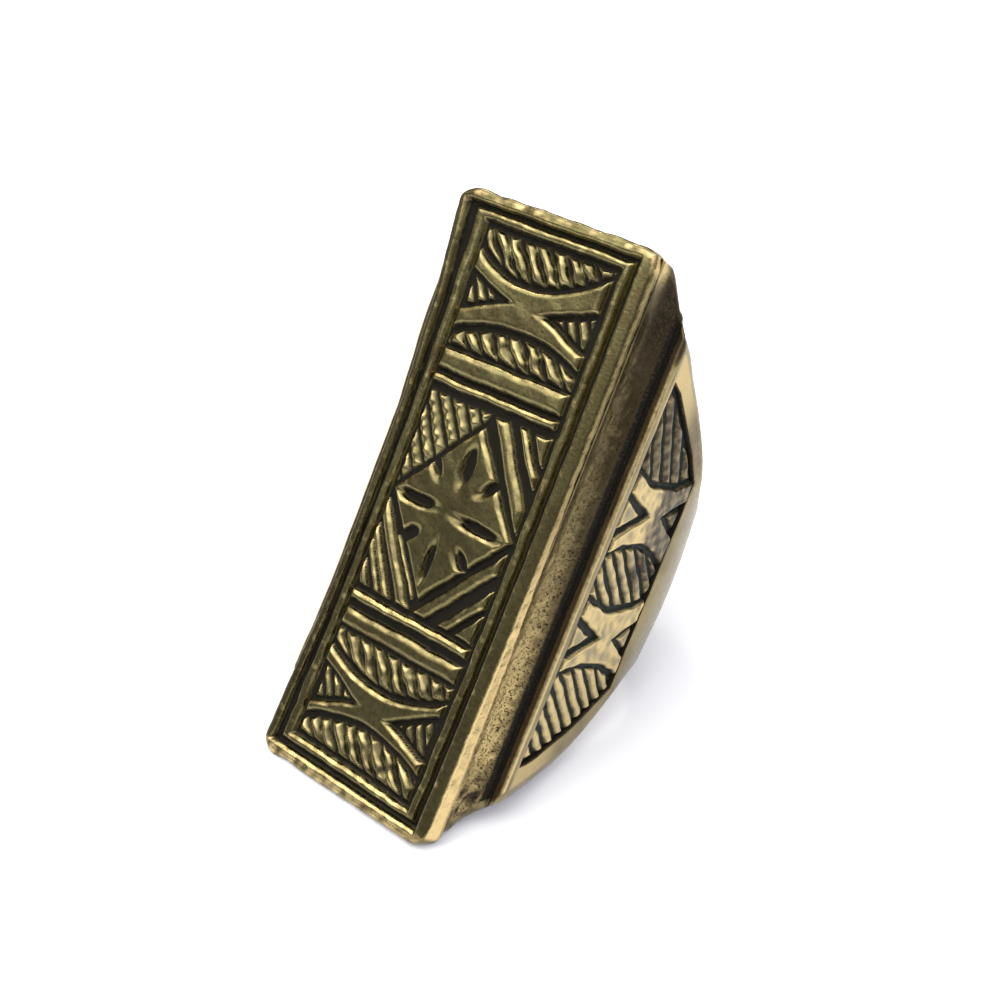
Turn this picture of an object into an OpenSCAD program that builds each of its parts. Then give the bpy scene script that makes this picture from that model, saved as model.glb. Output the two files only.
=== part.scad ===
// A cast finger ring with a long tablet that lies along the finger.
// It is drawn with the tablet's face up (+Z), its length along Y and its width along X,
// and then leans back, as it lies on a table: on the lower end of its tablet and on the
// back of its shank.

/* [Tablet] */
// Length of the tablet
plate_l = 43.7; // [43.4:0.1:44.2]
// Width of the tablet
plate_w = 16.7; // [16.3:0.1:17.2]
// How far the face sinks at mid length, like a shallow saddle
face_sag = 0.4; // [0.2:0.05:0.6]
// Radius on the tablet's long upper edges
rim_r = 0.7; // [0.4:0.05:0.9]
// Radius of the tablet's corners, seen from above
corner_r = 1.3; // [0.8:0.1:1.6]

/* [Border lines on the face] */
// Distance between the two long stretches of the border groove
groove_w = 13.55; // [13.4:0.05:13.8]
// Distance between the two short stretches of the border groove
groove_l = 41.4; // [41.2:0.05:41.7]
// Width of the border groove
groove_t = 0.42; // [0.3:0.02:0.5]
// Depth of the border groove under the face
groove_depth = 0.55; // [0.4:0.05:0.7]
// Width of the sunken panel
panel_w = 11.9; // [11.7:0.05:12.1]
// Length of the sunken panel
panel_l = 39.6; // [39.4:0.05:39.9]
// Depth of the sunken panel under the face
panel_depth = 0.75; // [0.6:0.05:0.9]
// Depth of the tops of the raised relief under the face
relief_depth = 0.12; // [0.05:0.01:0.3]

/* [Cove, ledge and cheeks] */
// Depth of the ledge at the foot of the cove
ledge_z = 3.5; // [3.2:0.1:3.8]
// Half width of the ring at the foot of the cove
cove_x = 9.65; // [9.5:0.05:9.8]
// Half width of the ring at the ridge outside the ledge
ridge_x = 10.6; // [10.4:0.05:10.65]
// Depth of the sunken field in each cheek
field_depth = 0.42; // [0.3:0.02:0.5]

/* [Shank] */
// Radius of the finger hole
bore_r = 9; // [8.6:0.1:9.2]
// Outer radius of the shank
shank_r = 10.7; // [10.65:0.05:11]
// Depth of the finger hole's axis under the face
shank_z = 13.2; // [13:0.1:13.4]
// Half width of the band at the back of the finger
band_half = 6.2; // [5.8:0.1:6.4]

/* [Hidden] */
BRASS = "#8a7440";

half_w = plate_w/2;
half_l = plate_l/2;
// Radius of the saddle, from its sag over half the tablet's length
face_r = plate_l*plate_l/8/face_sag;
// Depth where the rounded rim gives way to the cove, and how far the cove is hollowed
rim_t = 1.1;
cove_rise = 0.35;
ridge_r = 0.3;
back_z = shank_z + shank_r;
// How far cutters run past what they cut
over = 3;
// Height of the block that the lines and relief of the face are cut from
face_block = 2;

// The end of the tablet: columns are half length and depth
TABLET_END = [[half_l - 0.5, 0], [half_l, 0.5], [half_l - 0.05, rim_t]];
// Half length of the ring below the tablet, upper end, from there to the plain band
UPPER_END = [
    TABLET_END[2], [19.2, 2.7], [17.1, 4.2], [14.85, 6.7], [12.4, 10.0],
    [9.75, 13.1], [7.7, 15.6], [6.6, 18], [band_half, 20.5], [band_half, back_z]];
// The same for the lower end, which bulges a little more
LOWER_END = [
    TABLET_END[2], [19.3, 2.9], [17.2, 4.8], [15.7, 7.3], [13.8, 10.6],
    [11.2, 12.9], [8.5, 15.2], [6.9, 17.8], [band_half, 20.5], [band_half, back_z]];

// Lean at which the tablet's lower end and the back of the band both touch the table
lean = atan2(back_z - TABLET_END[2][1], TABLET_END[2][0] - band_half);
rest_z = TABLET_END[2][0]*sin(lean) + TABLET_END[2][1]*cos(lean);
// Foremost and hindmost points of the leaning ring
front_y = -TABLET_END[0][0]*cos(lean);
rear_y = band_half*cos(lean) + back_z*sin(lean);

// Half widths of the raised relief's field and of the arms of a cross
field_x = 5.55;
arm_x = 5.4;
UPPER_CROSS_Y = 15.1;
LOWER_CROSS_Y = -15.25;
// Half height of a cross at the ends of its arms, at its waist and at its end notches
arm_y = 2.95;
waist_y = 1.45;
notch_y = 1.75;
// Half width of what the end notches leave
waist_x = 1.7;
rope_gap = 0.3;
strand_pitch = 1.22;
strand_w = 0.85;
strand_slant = 36;
// Short strands in the notches of a cross: pitch, width and slant
NOTCH_STRANDS = [0.85, 0.55, 24];
// Bars above and below the middle panel: columns are lower and upper edge
BARS = [[9.25, 10.9], [8.0, 8.8], [-8.85, -8.1], [-10.75, -9.3]];
// Half diagonals of the diamond, and half height of the middle panel
dia_x = 5.4;
dia_y = 6.6;
mid_half = 7.65;
// Slits in the diamond: columns are place along X and Y, length, width and turn
SLITS = [
    [0, 3.5, 2.3, 0.85, 0], [0, -3.75, 2.4, 0.6, 0],
    [-3.15, 0.05, 2.6, 0.7, 90], [2.65, -0.1, 2.6, 0.6, 90]];
// Plain forms in the corners round the diamond: columns are the side along X, the side
// along Y, and the nearer and farther distance from the diamond
CORNER_FORMS = [
    [1, 1, 0.35, 1.25], [1, 1, 1.6, 2.35], [1, 1, 2.75, 6],
    [1, -1, 0.35, 1.3], [1, -1, 1.6, 2.55], [1, -1, 2.9, 6],
    [-1, -1, 0.35, 1.05], [-1, -1, 1.35, 2.05]];
corner_pitch = 1;
corner_strand_w = 0.62;
corner_slant = 38;

// Field of a cheek: depths of its edges, and half lengths at its upper and lower edge
field_top = 4.55;
field_low = 12.9;
field_top_y = 14.3;
field_low_y = 8.05;
field_mid = (field_top + field_low)/2;
cheek_cross_y = 4.9;
cheek_gap = 0.25;
// Strands of a cheek: columns are pitch, width and slant, for oval, upper and lower end
OVAL_STRANDS = [1.45, 0.72, 39];
UPPER_STRANDS = [1.6, 0.78, 52];
LOWER_STRANDS = [1.45, 0.78, 39];
// Wall that the cheeks' relief leaves round the finger hole
relief_wall = 0.4;

// Points from a to b on a shallow bow that rises to the left of the way
function bow(a, b, rise, steps = 8) =
    let (d = b - a, side = [-d[1], d[0]]/norm(d))
    [for (i = [0:steps]) let (t = i/steps) a + t*d + rise*4*t*(1 - t)*side];

// Points of a quarter round from angle a0 to a1 about a centre
function round_off(c, r, a0, a1, steps = 6) =
    [for (i = [0:steps]) let (a = a0 + (a1 - a0)*i/steps) c + r*[cos(a), sin(a)]];

// Points of a smooth curve through all rows, with each stretch cut in a few steps
function smooth(rows, steps = 3) =
    let (last = len(rows) - 1)
    [for (i = [0:last - 1], j = [0:steps - 1])
        let (
            a = rows[max(i - 1, 0)], b = rows[i], c = rows[i + 1], d = rows[min(i + 2, last)],
            t = j/steps)
        b + t*(c - a)/2 + t*t*(a - 2.5*b + 2*c - d/2) + t*t*t*(1.5*(b - c) + (d - a)/2)];

function flip(points) = [for (i = [len(points) - 1:-1:0]) [-points[i][0], points[i][1]]];

// Cross-section of the head: rounded rim, hollow cove, ledge, ridge and straight cheek
module head_section() {
    right = concat(
        round_off([half_w - rim_r, -rim_r], rim_r, 90, 0),
        bow([half_w, -rim_t], [cove_x, -ledge_z], -cove_rise),
        round_off([ridge_x - ridge_r, -ledge_z - ridge_r], ridge_r, 90, 0, 4),
        [[shank_r, -shank_z]]);
    polygon(concat(right, flip(right)));
}

module section() {
    head_section();
    translate([0, -shank_z]) circle(r = shank_r, $fn = 96);
}

// The cross-section with its cheeks set back by the depth of the sunken fields
module core_section() {
    polygon([
        [-ridge_x + field_depth, -ledge_z], [-shank_r + field_depth, -shank_z],
        [shank_r - field_depth, -shank_z], [ridge_x - field_depth, -ledge_z]]);
    translate([0, -shank_z]) circle(r = shank_r - field_depth, $fn = 96);
}

// Outline of one end in the side view, from the face to past the back
function end_outline(rows) =
    [for (row = concat([TABLET_END[0], TABLET_END[1]], smooth(rows), [[band_half, back_z + over]]))
        [row[0], -row[1]]];

// Side view of the ring: upper end to the right, lower end to the left
module side_view() {
    polygon(concat(end_outline(UPPER_END), flip(end_outline(LOWER_END))));
}

// A section carried along the finger, and a side view carried across it
module along(length) {
    rotate([90, 0, 0])
        linear_extrude(height = length, center = true)
            children();
}

module across(width) {
    rotate([90, 0, 90])
        linear_extrude(height = width, center = true)
            children();
}

// Everything above the saddle-shaped face, or above a level under it
module above_face(depth) {
    translate([0, 0, face_r - face_sag - depth])
        rotate([0, 90, 0])
            cylinder(r = face_r, h = 4*plate_w, center = true, $fn = 1440);
}

// What the corner radius takes away at the four corners of the tablet
module corner_cuts() {
    for (sx = [-1, 1], sy = [-1, 1])
        scale([sx, sy, 1])
            translate([half_w - corner_r, half_l - corner_r, -face_block])
                difference() {
                    cube([2*corner_r, 2*corner_r, over]);
                    translate([0, 0, -over]) cylinder(r = corner_r, h = 3*over, $fn = 48);
                }
}

module blank() {
    difference() {
        intersection() {
            along(plate_l + over) section();
            across(3*shank_r) side_view();
        }
        above_face(0);
        corner_cuts();
        translate([0, 0, -shank_z])
            rotate([90, 0, 0])
                cylinder(r = bore_r, h = 2*plate_l, center = true, $fn = 128);
    }
}

// A flat shape seen from above, as deep as the face's lines and relief need
module face_block() {
    translate([0, 0, -face_block])
        linear_extrude(height = over)
            children();
}

// Groove and sunken panel of the face
module face_cuts() {
    intersection() {
        above_face(groove_depth);
        face_block()
            difference() {
                square([groove_w + groove_t, groove_l + groove_t], center = true);
                square([groove_w - groove_t, groove_l - groove_t], center = true);
            }
    }
    intersection() {
        above_face(panel_depth);
        face_block() square([panel_w, panel_l], center = true);
    }
}

// A cross with bowed arms that end like fish tails
module cross_motif() {
    polygon(concat(
        [[arm_x, notch_y]], bow([arm_x, arm_y], [-arm_x, arm_y], arm_y - waist_y),
        [[-arm_x, notch_y], [-waist_x, 0], [-arm_x, -notch_y]],
        bow([-arm_x, -arm_y], [arm_x, -arm_y], arm_y - waist_y),
        [[arm_x, -notch_y], [waist_x, 0]]));
}

// Slanting strands side by side, to be cut to the shape of a field
module strands(reach, pitch, width, slant) {
    count = ceil(reach/pitch);
    for (i = [-count:count])
        translate([i*pitch, 0])
            rotate(slant)
                square([width, 4*reach], center = true);
}

// Strands between a straight edge and the bowed side of a cross
module rope_band(edge_y, cross_y, side) {
    tip_y = cross_y + side*(arm_y + rope_gap);
    mid_y = cross_y + side*(waist_y + rope_gap);
    intersection() {
        polygon(concat(
            [[-arm_x, edge_y], [arm_x, edge_y]],
            bow([arm_x, tip_y], [-arm_x, tip_y], tip_y - mid_y)));
        translate([0, (edge_y + mid_y)/2])
            strands(7, strand_pitch, strand_w, strand_slant);
    }
}

// Three short strands in the notch at each side of a cross
module notch_strands() {
    for (sx = [-1, 1])
        scale([sx, 1])
            intersection() {
                polygon([[arm_x, notch_y - 0.4], [waist_x + 0.9, 0], [arm_x, -notch_y + 0.4]]);
                translate([arm_x - 0.35, 0])
                    strands(3, NOTCH_STRANDS[0], NOTCH_STRANDS[1], NOTCH_STRANDS[2]);
            }
}

// The diamond, with its sides moved out by a distance
module diamond(grow = 0) {
    k = 1 + grow*norm([dia_x, dia_y])/(dia_x*dia_y);
    polygon([[k*dia_x, 0], [0, k*dia_y], [-k*dia_x, 0], [0, -k*dia_y]]);
}

// A pointed slit of a given length and width, lying along Y
module slit(length, width) {
    polygon(concat(
        bow([0, length/2], [0, -length/2], width/2, 6),
        bow([0, -length/2], [0, length/2], width/2, 6)));
}

// The diamond, with four slits on its axes and a notch in the middle of each side
module petal_diamond() {
    difference() {
        diamond();
        for (s = SLITS)
            translate([s[0], s[1]]) rotate(s[4]) slit(s[2], s[3]);
        for (sx = [-1, 1], sy = [-1, 1])
            translate([sx*dia_x/2, sy*dia_y/2])
                rotate(sx*sy*-50)
                    polygon([[-0.7, sy*0.6], [0.7, sy*0.6], [0.2, -sy*1.25], [-0.2, -sy*1.25]]);
    }
}

// Part of one corner field, between two distances from the diamond's side
module corner_form(sx, sy, near, far) {
    edge = 0.15;
    intersection() {
        difference() {
            diamond(far);
            diamond(near);
        }
        scale([sx, sy]) translate([edge, edge]) square([field_x - edge, mid_half - edge]);
    }
}

module corner_fields() {
    for (f = CORNER_FORMS)
        corner_form(f[0], f[1], f[2], f[3]);
    intersection() {
        corner_form(-1, -1, 2.4, 6);
        translate([-4, -5.5]) strands(4, corner_pitch, corner_strand_w, corner_slant);
    }
    intersection() {
        corner_form(-1, 1, 0.4, 6);
        translate([-4, 5]) strands(5, corner_pitch, corner_strand_w, corner_slant);
    }
}

// All raised relief on the face, seen from above
module face_relief() {
    for (y = [UPPER_CROSS_Y, LOWER_CROSS_Y])
        translate([0, y]) {
            cross_motif();
            notch_strands();
        }
    rope_band(panel_l/2 - rope_gap, UPPER_CROSS_Y, 1);
    rope_band(BARS[0][1] + rope_gap, UPPER_CROSS_Y, -1);
    rope_band(BARS[3][0] - rope_gap, LOWER_CROSS_Y, 1);
    rope_band(-panel_l/2 + rope_gap, LOWER_CROSS_Y, -1);
    for (bar = BARS)
        translate([-field_x, bar[0]]) square([2*field_x, bar[1] - bar[0]]);
    petal_diamond();
    corner_fields();
}

// Field of a cheek in the side view: X runs along the finger, and Y is minus the depth
module cheek_field(gap = 0) {
    polygon([
        [-field_top_y + 2.2*gap, -field_top - gap], [-field_low_y + 0.6*gap, -field_low + gap],
        [field_low_y - 0.6*gap, -field_low + gap], [field_top_y - 2.2*gap, -field_top - gap]]);
}

// Cross of the cheek: bowed towards the hatching and the oval, notched at top and bottom
module cheek_cross() {
    polygon(concat(
        [[3.15, -field_top], [cheek_cross_y, -field_mid + 0.5], [6.5, -field_top]],
        bow([7.6, -field_top], [7.6, -field_low], -0.65),
        [[6.4, -field_low], [cheek_cross_y, -field_mid - 0.75], [3.5, -field_low]],
        bow([1.65, -field_low], [1.6, -field_top], -0.95)));
}

module cheek_oval() {
    translate([0, -field_mid])
        scale([1, 1.68])
            circle(r = 2.3, $fn = 12);
}

// Field of hatching at one end of the cheek
module cheek_end_field() {
    polygon(concat(
        [[field_top_y - 0.8, -field_top - 0.3], [8.1, -field_top - 0.3]],
        bow([8.1, -field_top], [8.3, -field_low + 0.2], 0.75),
        [[field_low_y + 0.1, -field_low + 0.3]]));
}

// Strands of one row of the tables above, about a place along the cheek
module cheek_strands(y, reach, row) {
    translate([y, -field_mid]) strands(reach, row[0], row[1], row[2]);
}

module cheek_relief() {
    intersection() {
        cheek_field();
        for (sy = [-1, 1])
            scale([sy, 1]) cheek_cross();
    }
    intersection() {
        cheek_field(cheek_gap);
        union() {
            intersection() {
                cheek_oval();
                cheek_strands(0, 5, OVAL_STRANDS);
            }
            intersection() {
                cheek_end_field();
                cheek_strands(9, 8, UPPER_STRANDS);
            }
            intersection() {
                scale([-1, 1]) cheek_end_field();
                cheek_strands(-9, 8, LOWER_STRANDS);
            }
            for (sy = [-1, 1])
                translate([sy*cheek_cross_y, 0]) {
                    polygon([[-0.7, -field_top], [0.7, -field_top], [0, -field_top - 1.7]]);
                    polygon([[-0.6, -field_low], [0.6, -field_low], [0, -field_low + 1.4]]);
                }
        }
    }
}

// Sunken field of both cheeks, whose floor follows the curve of the shank
module cheek_cuts() {
    difference() {
        across(4*shank_r) cheek_field();
        along(plate_l) core_section();
    }
}

// Relief of both cheeks, cut off at the outer surface of the ring
module cheek_raise() {
    intersection() {
        difference() {
            across(2*shank_r) cheek_relief();
            across(2*(bore_r + relief_wall)) square([2*plate_l, 4*shank_r], center = true);
        }
        along(plate_l) section();
    }
}

module ring() {
    color(BRASS)
        translate([0, -(front_y + rear_y)/2, rest_z])
            rotate([lean, 0, 0]) {
                difference() {
                    blank();
                    face_cuts();
                    cheek_cuts();
                }
                difference() {
                    face_block() face_relief();
                    above_face(relief_depth);
                }
                cheek_raise();
            }
}

ring();
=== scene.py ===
"""The dressed model of a cast finger ring: a long tablet of raised relief over hollowed
sides, patterned cheeks and a plain shank, leaning as it lies on a table.

Shapes are worked out in millimetres in the ring's own frame: X across the tablet, Y along
it and Z out of its face, with the face's rim at Z = 0. They are leaned and put on the
table as they go into a mesh."""

import bpy
import numpy as np
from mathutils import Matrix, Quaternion, Vector


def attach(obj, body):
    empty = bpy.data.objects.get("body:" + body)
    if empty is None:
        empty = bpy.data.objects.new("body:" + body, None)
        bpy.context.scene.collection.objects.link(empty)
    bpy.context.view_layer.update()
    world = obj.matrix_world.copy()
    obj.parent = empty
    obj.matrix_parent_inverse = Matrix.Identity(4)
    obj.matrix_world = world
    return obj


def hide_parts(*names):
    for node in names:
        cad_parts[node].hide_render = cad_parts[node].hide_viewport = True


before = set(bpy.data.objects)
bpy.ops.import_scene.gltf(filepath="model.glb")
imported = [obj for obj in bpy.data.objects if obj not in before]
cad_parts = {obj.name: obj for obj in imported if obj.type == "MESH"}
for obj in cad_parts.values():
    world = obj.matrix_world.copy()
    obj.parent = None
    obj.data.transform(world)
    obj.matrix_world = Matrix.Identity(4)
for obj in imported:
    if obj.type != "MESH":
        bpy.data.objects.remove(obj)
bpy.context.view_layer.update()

bl_info = {
    "name": "Cross ring",
    "version": (1, 0, 0),
    "blender": (4, 5, 0),
    "location": "3D View > Sidebar > Ring",
    "description": "Builds a cast brass finger ring with a long tablet of crosses",
    "category": "Object",
}

NODE = "ring"
MM = 0.001

# ---- the ring's main sizes, in mm ----

# Half length of the tablet, how far the middle of its face lies below the ends, and the
# depth of its rim's foot
HALF_L = 21.85
SAG = 0.4
RIM_FOOT = 1.1
# Depth from the face to the back of the band, and the band's half width
BACK_Z = 23.9
BAND_HALF = 6.2
# Radius of the finger hole and of the shank, and the depth of their middle
BORE_R = 9.0
SHANK_R = 10.7
SHANK_Z = 13.2
# Half length at each end: against the place across for the cove and the ledge (place
# first), and against depth for the cheek and the band (half length first)
UPPER_HEAD = [
    (0, 21.6), (7.4, 21.6), (8.1, 21.4), (8.4, 21.15), (8.57, 20.8), (8.81, 20.2), (9.09, 19.55),
    (9.4, 18.9), (9.88, 18.2), (10.42, 17.5), (10.62, 17.1)]
LOWER_HEAD = [
    (0, 21.6), (6.9, 21.6), (7.7, 21.35), (8.2, 20.9), (8.42, 20.5), (8.57, 19.95), (8.85, 19.4),
    (9.27, 18.8), (9.87, 18.15), (10.3, 17.75), (10.62, 17.4)]
UPPER_EDGE = [
    (17.15, 3.6), (16.35, 5.06), (15.0, 6.85), (13.62, 8.86), (12.15, 10.81), (10.62, 12.67),
    (8.88, 14.24), (7.22, 15.6), (6.45, 17.0), (6.22, 19.0), (6.2, 23.9)]
LOWER_EDGE = [
    (17.4, 3.6), (17.0, 4.83), (16.0, 6.96), (14.7, 9.41), (13.25, 11.3), (11.75, 12.72),
    (9.95, 13.87), (8.35, 15.0), (7.1, 16.7), (6.45, 18.5), (6.25, 20.5), (6.25, 23.9)]
# Half length of a cheek's sunken field against depth, upper and lower end
UPPER_FIELD = [(14.2, 4.3), (13.65, 5.67), (11.75, 8.4), (9.9, 11.06), (7.95, 13.2)]
LOWER_FIELD = [
    (14.45, 4.3), (14.3, 5.1), (13.8, 6.2), (12.9, 7.7), (12.05, 9.15), (11.2, 10.3),
    (10.35, 11.35), (9.3, 12.45), (8.6, 13.2)]
FIELD_TOP = 4.3
FIELD_LOW = 13.2
# Half width of the ring at the ridge, how much it gains down to its widest place, and the
# ridge's depth
RIDGE_X, SPREAD, RIDGE_DEPTH = 10.62, 0.08, 3.75
# A length that stands in for none where something is divided by it
TINY = 1e-9

LEAN = np.arctan2(BACK_Z - RIM_FOOT, HALF_L - 0.05 - BAND_HALF)
REST_Z = (HALF_L - 0.05)*np.sin(LEAN) + RIM_FOOT*np.cos(LEAN)
FRONT_Y = -(HALF_L - 0.5)*np.cos(LEAN)
REAR_Y = BAND_HALF*np.cos(LEAN) + BACK_Z*np.sin(LEAN)


def on_table(points):
    """Points of the ring's own frame, leaned by LEAN about X and put on the table, in metres."""
    x, y, z = points[:, 0], points[:, 1], points[:, 2]
    c, s = np.cos(LEAN), np.sin(LEAN)
    shift = -(FRONT_Y + REAR_Y)/2
    return MM*np.stack([x, y*c - z*s + shift, y*s + z*c + REST_Z], axis=1)


# ---- curves and distances, in mm ----


def smooth_line(rows, steps=12):
    """A smooth curve through the rows: on each stretch the cubic whose slope at a row is
    half the step from the row before it to the row after it."""
    p = np.array(rows, float)
    p = np.vstack([p[:1], p, p[-1:]])
    t = (np.arange(steps)/steps)[:, None]
    parts = [
        b + t*(c - a)/2 + t**2*(a - 2.5*b + 2*c - d/2) + t**3*(1.5*(b - c) + (d - a)/2)
        for a, b, c, d in zip(p[:-3], p[1:-2], p[2:-1], p[3:])]
    return np.vstack(parts + [p[-1:]])


def half_length(rows, depth):
    """Half length at a depth, read from the smooth curve through the rows."""
    line = smooth_line(rows)
    return np.interp(depth, line[:, 1], line[:, 0])


def soft_step(x, low, high):
    """0 up to low, 1 from high, and 3t^2 - 2t^3 between them."""
    t = np.clip((x - low)/(high - low), 0, 1)
    return t*t*(3 - 2*t)


def shoulder(distance, width):
    """A rounded shoulder: a quarter of an ellipse that rises from 0 at the edge to 1 at
    width inside it."""
    t = 1 - np.clip(distance/width, 0, 1)
    return np.sqrt(1 - t*t)


def mound(distance, width):
    """A low rounded back: a parabola that rises from 0 at the edge to 1 at width inside."""
    t = 1 - np.clip(distance/width, 0, 1)
    return 1 - t*t


def ripple(x, y, size, seed, waves=14):
    """Smooth unevenness between about -1 and 1: a sum of sine waves about size long, in
    directions drawn from a seed."""
    rng = np.random.default_rng(seed)
    turn = rng.uniform(0, 2*np.pi, waves)
    rate = 2*np.pi/(size*rng.uniform(0.6, 1.7, waves))
    start = rng.uniform(0, 2*np.pi, waves)
    total = sum(
        np.sin(r*(x*np.cos(a) + y*np.sin(a)) + s) for a, r, s in zip(turn, rate, start))
    return total/np.sqrt(waves)


def box_distance(x, y, box):
    """Distance inside a rectangle's edge. The box is its middle and its half sizes."""
    middle_x, middle_y, half_x, half_y = box
    return np.minimum(half_x - np.abs(x - middle_x), half_y - np.abs(y - middle_y))


def line_distance(x, y, a, b):
    """Distance from the line that runs from a to b, above 0 on its right."""
    dx, dy = b[0] - a[0], b[1] - a[1]
    return ((x - a[0])*dy - (y - a[1])*dx)/np.hypot(dx, dy)


def lane_distance(x, y, a, b, half):
    """Distance inside a lane of a half width, whose middle line runs through a and b."""
    return half - np.abs(line_distance(x, y, a, b))


def strand_distance(x, y, start, way, pitch, half):
    """Distance inside the nearest of many equal lanes, a pitch apart, that run along a
    direction."""
    away = line_distance(x, y, start, np.add(start, way))
    return half - np.abs(away - pitch*np.round(away/pitch))


def wedge_clearance(x, y, tip, first, second):
    """Distance outside a wedge with its point at tip and its sides through two points."""
    turn = np.sign(line_distance(*second, tip, first))
    return np.maximum(
        -turn*line_distance(x, y, tip, first), turn*line_distance(x, y, tip, second))


def lens_clearance(x, y, centre, half_long, half_wide, turn=0.0):
    """Distance outside an oval slit: the oval's own radius scale less one, times its half
    width."""
    c, s = np.cos(np.radians(turn)), np.sin(np.radians(turn))
    u = (x - centre[0])*c + (y - centre[1])*s
    v = -(x - centre[0])*s + (y - centre[1])*c
    return (np.sqrt((u/half_wide)**2 + (v/half_long)**2) - 1)*half_wide


def parabola_gap(across, along, bow, sign):
    """Distance to a bow along = c + b*across + a*across^2, above 0 on the side that sign
    gives, and shortened by the bow's slope."""
    c, b, a = bow
    edge = c + b*across + a*across**2
    return sign*(along - edge)/np.sqrt(1 + (b + 2*a*across)**2)


# ---- meshes ----


def sheet_quads(rows, columns, join_rows=False, join_columns=False):
    """Quads of a grid of points, with its last row or column joined to the first if asked."""
    i = np.arange(rows if join_rows else rows - 1)[:, None]
    j = np.arange(columns if join_columns else columns - 1)[None, :]
    i2, j2 = (i + 1) % rows, (j + 1) % columns
    corners = [i*columns + j, i*columns + j2, i2*columns + j2, i2*columns + j]
    return np.stack([c.ravel() for c in np.broadcast_arrays(*corners)], axis=1)


def rim_of(rows, columns):
    """Points round the edge of a grid, in order."""
    grid = np.arange(rows*columns).reshape(rows, columns)
    return np.concatenate(
        [grid[0, :-1], grid[:-1, -1], grid[-1, :0:-1], grid[:0:-1, 0]])


def new_piece(name, points, quads, caps=(), **masks):
    """A closed piece from points, quads and flat caps. It is turned inside out where its
    volume, the sum of its faces' signed tetrahedra, comes out below 0."""
    fans = [np.stack([np.full(len(c) - 2, c[0]), c[1:-1], c[2:]], axis=1) for c in caps]
    tris = np.vstack([quads[:, [0, 1, 2]], quads[:, [0, 2, 3]], *fans])
    a, b, c = (points[tris[:, k]] for k in range(3))
    if np.einsum("ij,ij->i", a, np.cross(b, c)).sum() < 0:
        quads, caps = quads[:, ::-1], [c[::-1] for c in caps]
    loops = np.concatenate([quads.ravel(), *caps]).astype(np.int32)
    sizes = np.array([4]*len(quads) + [len(c) for c in caps])
    starts = np.concatenate([[0], np.cumsum(sizes)[:-1]]).astype(np.int32)
    mesh = bpy.data.meshes.new(name)
    mesh.vertices.add(len(points))
    mesh.vertices.foreach_set("co", on_table(points).astype(np.float32).ravel())
    mesh.loops.add(len(loops))
    mesh.loops.foreach_set("vertex_index", loops)
    mesh.polygons.add(len(starts))
    mesh.polygons.foreach_set("loop_start", starts)
    mesh.update(calc_edges=True)
    for mask, values in masks.items():
        layer = mesh.attributes.new(mask, "FLOAT", "POINT")
        layer.data.foreach_set("value", values.astype(np.float32).ravel())
    mesh.shade_smooth()
    piece = bpy.data.objects.new(name, mesh)
    bpy.context.scene.collection.objects.link(piece)
    return piece


def finish_piece(piece, material):
    """Gives the piece its finish and joins it to the ring's body."""
    piece.data.materials.append(material)
    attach(piece, "root")
    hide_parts(NODE)
    return piece


def blurred(field, reach):
    """The field averaged over a square window, three times each way, which comes close to
    a Gaussian blur."""
    for axis in (0, 1):
        for _ in range(3):
            pad = [(reach + 1, reach) if k == axis else (0, 0) for k in (0, 1)]
            total = np.cumsum(np.pad(field, pad, mode="edge"), axis=axis)
            size = field.shape[axis]
            high = np.take(total, np.arange(2*reach + 1, 2*reach + 1 + size), axis=axis)
            low = np.take(total, np.arange(size), axis=axis)
            field = (high - low)/(2*reach + 1)
    return field


def hollows_and_crests(level, step, reach_mm, hollow_mm, crest_mm):
    """Two masks from 0 to 1: how far a point lies below the mean level round it, and how
    far above it. Three windows of reach/1.8 average about as far as one of the reach."""
    mean = blurred(level, max(1, round(reach_mm/step/1.8)))
    hollow = np.clip((mean - level)/hollow_mm, 0, 1)
    crest = np.clip((level - mean)/crest_mm, 0, 1)
    return hollow, crest


# ---- the tablet and its relief ----

# Depth of the relief's top and of its floor, and the grid's step
TOP = 0.08
FLOOR = 0.68
GRID = 0.094
# Half width of the tablet, left and right, and how much shorter its lower half is
LEFT_W, RIGHT_W = 8.02, 8.13
SHORTER = 0.07
# How far the left edge stands in at its waist, and the ridge under it
WAIST, RIDGE_WAIST = 0.43, 0.559
# Radius of the plan's corners and of the rim's edge, the rim's flat between them, and the
# way down the wall that the grid walks
PLAN_R = 1.35
RIM_R = 0.36
FLAT = PLAN_R - RIM_R
WALL_WAY = 0.6

# Rectangles of the face, as middle and half sizes: the border groove's outer edge, and the
# outer and the inner edge of the frame line
GROOVE_EDGE = (-0.185, 0.05, 7.015, 20.85)
FRAME_OUT = (-0.11, 0.04, 6.69, 20.65)
FRAME_IN = (-0.085, 0.0, 5.765, 19.84)

# Bows of a cross, as height at the middle, slope and bend, for its upper and lower edge;
# and its wedges, as the point and one more place on each side
UPPER_CROSS = dict(
    top=(16.56, 0.108, 0.0658), low=(13.5, 0.006, -0.0404),
    left=((-1.95, 15.2), (-5.7, 16.55), (-5.7, 13.65)),
    right=((1.45, 15.1), (5.3, 16.5), (5.3, 13.62)))
LOWER_CROSS = dict(
    top=(-13.93, 0.045, 0.0535), low=(-16.58, 0.028, -0.0455),
    left=((-1.8, -15.45), (-5.7, -13.8), (-5.7, -17.2)),
    right=((1.66, -15.38), (5.4, -13.1), (5.4, -16.65)))
FIELD_LEFT, FIELD_RIGHT = -5.68, 5.36
HATCH_WAY = (0.5, -0.87)

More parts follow.
